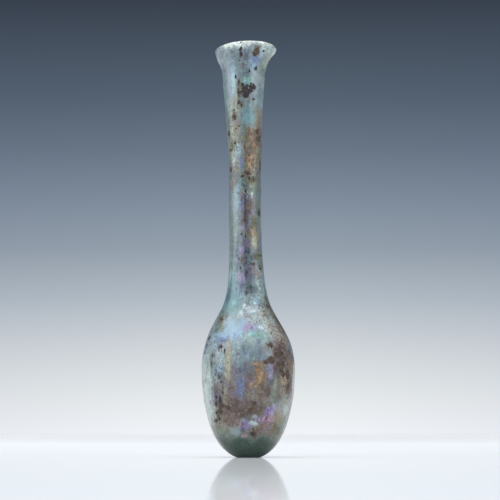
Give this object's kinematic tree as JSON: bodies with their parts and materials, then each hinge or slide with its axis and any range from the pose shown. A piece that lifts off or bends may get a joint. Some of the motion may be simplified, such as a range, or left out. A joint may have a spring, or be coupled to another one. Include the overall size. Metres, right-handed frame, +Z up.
{
  "type": "roman glass unguentarium",
  "caption": "Tall blown-glass scent flask: egg-shaped body on a small flat, long slender neck, funnel mouth with a rounded lip.",
  "frame": {"origin": "centre of the small flat that the flask stands on, on the axis of the body", "axes": "+Z up along the body's axis, from the base to the mouth; -Y towards the viewer of the picture; +X to the viewer's right, away from the side that the neck leans to"},
  "size_m": [0.0294, 0.0288, 0.1304],
  "materials": {
    "weathered_glass": "pale green blown glass under an iridescent blue, violet and silver film, with brown and tan crust in patches"
  },
  "bodies": {
    "root": {"flask": "weathered_glass"}
  },
  "joints": []
}
